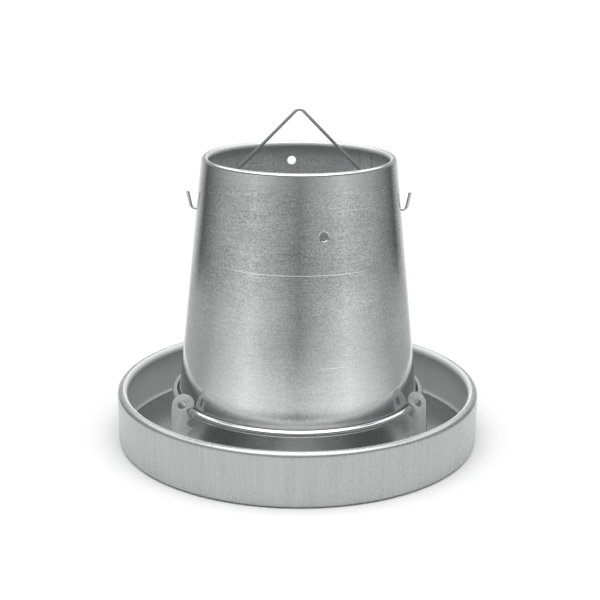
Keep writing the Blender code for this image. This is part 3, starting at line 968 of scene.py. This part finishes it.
    def patch(
        self, hole: Hole, azimuths: np.ndarray, rows: np.ndarray, side: int, first: int
    ) -> tuple[tuple[int, int, int, int], np.ndarray, np.ndarray, np.ndarray]:
        """Fills a square of the wall's grid with rings that close in on a round hole.

        Ring t of n lies at the share t / n of the way from the square's edge to the circle.

        Args:
            hole: the hole.
            azimuths: the grid's azimuths.
            rows: the outline's row for each point of the middle line, on this face of the sheet.
            side: +1 for the outer face and -1 for the inner one.
            first: the number that the patch's first new point gets.

        Returns:
            The square's first and last row and column, the new points, the new faces, and the circle's points.
        """
        heights = self.path[:, 1]
        wall_rows = np.arange(self.first_wall_row, len(heights) - self.curl_rows)
        centre_row = np.interp(-hole.height, -heights[wall_rows], wall_rows)
        spacing = heights[self.first_wall_row + 3] - heights[self.first_wall_row + 4]
        slant = math.hypot(spacing, (self.wall_foot[0] - self.wall_top[0]) / self.rows)
        radius = np.interp(centre_row, np.arange(len(heights)), self.path[:, 0])
        step = math.tau / self.columns
        centre_column = (hole.azimuth - azimuths[0]) / step
        reach = hole.radius + self.hole_margin
        top, bottom = math.floor(centre_row - reach / slant), math.ceil(centre_row + reach / slant)
        begin = math.floor(centre_column - reach / (radius * step))
        end = math.ceil(centre_column + reach / (radius * step))
        down, across = np.arange(top, bottom + 1), np.arange(begin, end + 1)
        wide, tall = len(across) - 1, len(down) - 1
        edge_rows = np.concatenate([np.full(wide, top), down[:-1], np.full(wide, bottom), down[:0:-1]])
        edge_columns = np.concatenate([across[:-1], np.full(tall, end), across[:0:-1], np.full(tall, begin)])
        edge = np.column_stack([(edge_columns - centre_column) * step * radius, (edge_rows - centre_row) * slant])
        circle = edge / np.linalg.norm(edge, axis=1, keepdims=True) * hole.radius
        shares = (np.arange(1, self.hole_rings + 1) / self.hole_rings)[:, None, None]
        rings = edge * (1 - shares) + circle * shares
        azimuth = hole.azimuth + rings[..., 0].ravel() / radius
        row = centre_row + rings[..., 1].ravel() / slant
        new_points = self.wall_point(azimuth, row, side)
        old = rows[edge_rows] * self.columns + edge_columns % self.columns
        numbers = np.concatenate([old[None], first + np.arange(len(new_points)).reshape(self.hole_rings, -1)])
        beside = np.roll(numbers, -1, axis=1)
        quads = np.stack([numbers[:-1], beside[:-1], beside[1:], numbers[1:]], 2).reshape(-1, 4)
        return (top, bottom, begin, end), new_points, quads, numbers[-1]


@dataclass
class Bail:
    """The wire bail: an inverted V with a tight bend, through the side holes, its ends hooked up outside."""

    wire: float = 3.0 * MM
    wall: float = 98.61 * MM
    drop_in: float = 2.4 * MM
    apex_bend: float = 5.0 * MM
    wall_bend: float = 4.5 * MM
    hook_bend: float = 4.2 * MM
    hook_out: float = 5.4 * MM
    hook_height: float = 16.8 * MM
    hook_lean: float = math.radians(11.5)
    sides: int = 28
    dome_steps: int = 5
    dome_height: float = 0.35
    axis: float = 231.5 * MM

    def path(self) -> np.ndarray:
        """The wire's centre line, from the left hook's tip to the right one's, in X and Z.

        Returns:
            The points.
        """
        low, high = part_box("bail")
        foot = self.wall - self.drop_in
        half_angle = math.atan2(foot, high.z - self.axis)
        apex = high.z - self.wire / 2 + self.apex_bend * (1 / math.sin(half_angle) - 1)
        hook = self.wall + self.hook_out
        tip = (hook + self.hook_height * math.tan(self.hook_lean), self.axis + self.hook_height)
        side = [tip, (hook, self.axis), (foot, self.axis)]
        corners = np.array([(-x, z) for x, z in side] + [(0.0, apex)] + side[::-1])
        radii = [self.hook_bend, self.wall_bend, self.apex_bend, self.wall_bend, self.hook_bend]
        pieces = [corners[:1]]
        for before, corner, after, radius in zip(corners, corners[1:], corners[2:], radii):
            into = (corner - before) / np.linalg.norm(corner - before)
            out = (after - corner) / np.linalg.norm(after - corner)
            turn = math.acos(float(np.clip(into @ out, -1.0, 1.0)))
            side_sign = math.copysign(1.0, into[0] * out[1] - into[1] * out[0])
            normal = np.array([-into[1], into[0]]) * side_sign
            centre = corner - into * radius * math.tan(turn / 2) + normal * radius
            first = math.atan2(-normal[1], -normal[0])
            bend = arc(tuple(centre), radius, first, first + side_sign * turn, 14)
            pieces += [line(pieces[-1][-1], bend[0], 6), bend]
        pieces += [line(pieces[-1][-1], corners[-1], 6), corners[-1:]]
        return np.concatenate(pieces)

    def build(self, finish: Material) -> Piece:
        """Carries a circle along the centre line and domes its two cut ends.

        A point at angle a on the ring is the path point + r (cos a normal + sin a Y).

        Args:
            finish: the wire's material.

        Returns:
            The bail, dressed.
        """
        path = self.path()
        normal = normals_2d(path)
        tangent = np.column_stack([normal[:, 1], -normal[:, 0]])
        radius = self.wire / 2
        dome = np.linspace(0.0, math.pi / 2, self.dome_steps + 1)[1:]
        bulge, shrink = self.dome_height * radius * np.sin(dome)[:, None], np.cos(dome)
        inset = bulge[-1]
        path[0] += tangent[0] * inset
        path[-1] -= tangent[-1] * inset
        start, finish_end = path[0] - tangent[0] * bulge, path[-1] + tangent[-1] * bulge
        centres = np.concatenate([start[::-1], path, finish_end])
        steps = self.dome_steps
        across = np.concatenate([np.repeat(normal[:1], steps, 0), normal, np.repeat(normal[-1:], steps, 0)])
        scale = np.concatenate([shrink[::-1], np.ones(len(path)), shrink]) * radius
        angles = np.arange(self.sides) * math.tau / self.sides
        wide, deep = scale[:, None] * np.cos(angles), scale[:, None] * np.sin(angles)
        points = np.stack(
            [centres[:, :1] + wide * across[:, :1], deep, centres[:, 1:] + wide * across[:, 1:]], 2
        ).reshape(-1, 3)
        quads = wrapped_quads(len(centres), self.sides, wrap_rows=False)
        piece = put_mesh("bail_wire", points, outward(points, [quads]), finish, WELD)
        return dress(piece, "bail", ["bail"])


@dataclass(frozen=True)
class LightBand:
    """A ring of the studio: the heights over which it takes over from the ring below, in degrees.

    The levels are its brightness by angle from the front, in degrees, the same to the left and to the right.
    """

    rise: tuple[float, float]
    levels: tuple[tuple[float, float], ...]


@dataclass
class Studio:
    """A plain pale floor, soft light all round and the photograph's camera."""

    bands: tuple[LightBand, ...] = (
        # The white table, lit by two soft boxes at 50 degrees to the camera's left and right.
        LightBand((-90, -90), ((0, 0.9), (50, 1.3), (110, 0.5), (180, 0.5))),
        # Beyond the table: a dark gap round the camera, the soft boxes, the dim room and the white backdrop.
        LightBand((-9, -7), ((0, 0.3), (50, 1.0), (100, 0.5), (150, 0.6), (180, 1.2))),
        # Black cards at both sides, which draw the dark lines down the hopper's edges.
        LightBand((-5, -3), ((0, 0.3), (50, 0.8), (90, 0.5), (130, 0.1), (150, 0.7), (180, 1.2))),
        # Over the soft boxes: the dim room.
        LightBand((12, 20), ((0, 0.4), (30, 0.05), (60, 0.05), (90, 0.2), (180, 0.6))),
        # The ceiling, bright in front and dark behind the backdrop.
        LightBand((38, 46), ((0, 1.9), (180, 1.9))),
        LightBand((60, 68), ((0, 1.9), (60, 1.9), (120, 0.25), (180, 0.25))),
    )
    dip: float = 0.2
    floor_radius: float = 0.36
    floor_colour: str = "#DCDCDC"
    floor_sides: int = 96
    floor_drop: float = 0.02 * MM
    lamp_power: float = 14.0
    camera_back: float = 1.1644
    camera_height: float = 0.4864
    pitch: float = math.radians(16.611)
    roll: float = math.radians(0.42)
    yaw: float = math.radians(-0.087)
    focal_pixels: float = 1226.71
    frame_pixels: float = 600.0
    sensor: float = 36.0

    def floor(self) -> Piece:
        """Lays a round pale floor, which is staging and not part of the object.

        Returns:
            The floor.
        """
        corners = np.arange(self.floor_sides)
        angles = corners * math.tau / self.floor_sides
        points = np.column_stack([np.cos(angles), np.sin(angles), 0 * angles]) * self.floor_radius
        finish = bpy.data.materials.new("studio_floor")
        finish.use_nodes = True
        shader = finish.node_tree.nodes["Principled BSDF"]
        shader.inputs["Base Color"].default_value = linear(self.floor_colour)
        shader.inputs["Roughness"].default_value = 0.9
        made = put_mesh("studio_floor", points - (0, 0, self.floor_drop), [corners[None]], finish)
        return made

    def world(self) -> None:
        """Surrounds the feeder with the rings of light, which the camera sees as plain white.

        A ring lies at the height Z + dip (1 - cos(a / 2)), where a is the angle from the front, so that the
        hopper's cone mirrors it as a level line.
        """
        world = bpy.data.worlds.new("studio")
        bpy.context.scene.world = world
        world.use_nodes = True
        tree = world.node_tree
        tree.nodes.clear()
        direction = add_node(tree, "ShaderNodeTexCoord").outputs["Generated"]
        parts = add_node(tree, "ShaderNodeSeparateXYZ", {0: direction})
        front = calculate(tree, "MULTIPLY", parts.outputs["Y"], -1.0)
        azimuth = calculate(tree, "ARCTAN2", parts.outputs["X"], front)
        share = calculate(tree, "DIVIDE", calculate(tree, "ABSOLUTE", azimuth), math.pi)
        ahead = calculate(tree, "COSINE", calculate(tree, "MULTIPLY", azimuth, 0.5))
        raised = calculate(tree, "MULTIPLY_ADD", ahead, -self.dip, parts.outputs["Z"])
        height = calculate(tree, "ADD", raised, self.dip)
        light: Any = None
        for band in self.bands:
            stops = [(degrees / 180, level) for degrees, level in band.levels]
            ring = add_node(tree, "ShaderNodeValToRGB", {"Fac": share}, stops=stops).outputs["Color"]
            low, high = (math.sin(math.radians(angle)) for angle in band.rise)
            light = ring if light is None else blend(tree, fade(tree, height, low, high), light, ring)
        seen = add_node(tree, "ShaderNodeLightPath").outputs["Is Camera Ray"]
        around = add_node(tree, "ShaderNodeBackground", {"Color": light})
        white = add_node(tree, "ShaderNodeBackground", {"Color": (1.0,) * 4, "Strength": 1.05})
        either = add_node(tree, "ShaderNodeMixShader", {0: seen, 1: around.outputs[0], 2: white.outputs[0]})
        add_node(tree, "ShaderNodeOutputWorld", {"Surface": either.outputs[0]})

    def top_light(self) -> None:
        """Hangs one wide soft light over the feeder, a little in front."""
        light = bpy.data.lights.new("top_softbox", "AREA")
        light.shape = "RECTANGLE"
        light.size, light.size_y = 1.4, 1.1
        light.energy = self.lamp_power
        lamp = bpy.data.objects.new("top_softbox", light)
        lamp.location = (0.0, -0.25, 1.35)
        lamp.rotation_euler = (math.radians(-10.0), 0.0, 0.0)
        bpy.context.scene.collection.objects.link(lamp)

    def camera(self) -> None:
        """Sets the camera where a fit to the photograph's rims put it."""
        data = bpy.data.cameras.new("photograph")
        data.sensor_width = self.sensor
        data.lens = self.focal_pixels * self.sensor / self.frame_pixels
        eye = bpy.data.objects.new("photograph", data)
        turn = Matrix.Rotation(self.yaw, 4, "Z") @ Matrix.Rotation(math.pi / 2 - self.pitch, 4, "X")
        stand = Matrix.Translation((0.0, -self.camera_back, self.camera_height))
        eye.matrix_world = stand @ turn @ Matrix.Rotation(self.roll, 4, "Z")
        bpy.context.scene.collection.objects.link(eye)
        bpy.context.scene.camera = eye

    def build(self) -> None:
        """Sets up the floor, the light and the camera, with plain colours."""
        bpy.context.scene.view_settings.view_transform = "Standard"
        self.floor()
        self.world()
        self.top_light()
        self.camera()


def main() -> None:
    """Builds every piece on its body, then the studio."""
    logging.basicConfig(level=logging.INFO, format="%(name)s: %(message)s")
    scuffs = (Scuff(192.0 * MM, -2.35, -0.85), Scuff(106.0 * MM, -1.42, -1.1, 0.35 * MM))
    # Rolled sheet: bright and streaked round the wall, calmer at the foot and collar, dull inside.
    hopper_sheet = GalvanisedSteel(
        "galvanised_rolled_sheet", Working.ROLLED, dull_inside=0.75, calm_below=190.0 * MM,
        calm_above=262.0 * MM, scuffs=scuffs
    )
    # Drawn sheet: satin, with upright draw marks, its floor darkened with painted shade and its inner faces
    # lightened with painted light.
    pan_sheet = GalvanisedSteel(
        "galvanised_drawn_sheet", Working.DRAWN, "#C1C2C2", "#A4A5A5", roughness=0.28, sparkle=0.2, patina=0.25,
        marks=0.8, dull_inside=0.7, painted_inner_light=0.5, painted_floor_shade=0.35
    )
    # Stamped plate: pale and matt, with its cut edges painted near black: bare steel, darkened further as painted
    # shade.
    rack_sheet = GalvanisedSteel(
        "galvanised_stamped_sheet", Working.STAMPED, "#F0F1F1", "#C6C7C7", roughness=0.4, sparkle=0.3,
        patina=0.85, marks=0.8, bloom=7.0 * MM, shaded_bare_edges=0.9
    )
    # Drawn wire: smooth and mirror-like.
    wire = GalvanisedSteel("galvanised_drawn_wire", Working.WIRE, "#D4D5D5", "#A6A7A8", sparkle=0.1)
    # Plated rivets: soft, fine-grained grey.
    zinc = GalvanisedSteel("zinc_plated_rivet", Working.STAMPED, roughness=0.4, sparkle=0.2, patina=0.4)
    Pan().build(pan_sheet.material())
    racks = Racks()
    racks.build(rack_sheet.material())
    racks.rivets(zinc.material())
    Hopper().build(hopper_sheet.material())
    Bail().build(wire.material())
    Studio().build()


if __name__ == "__main__":
    main()
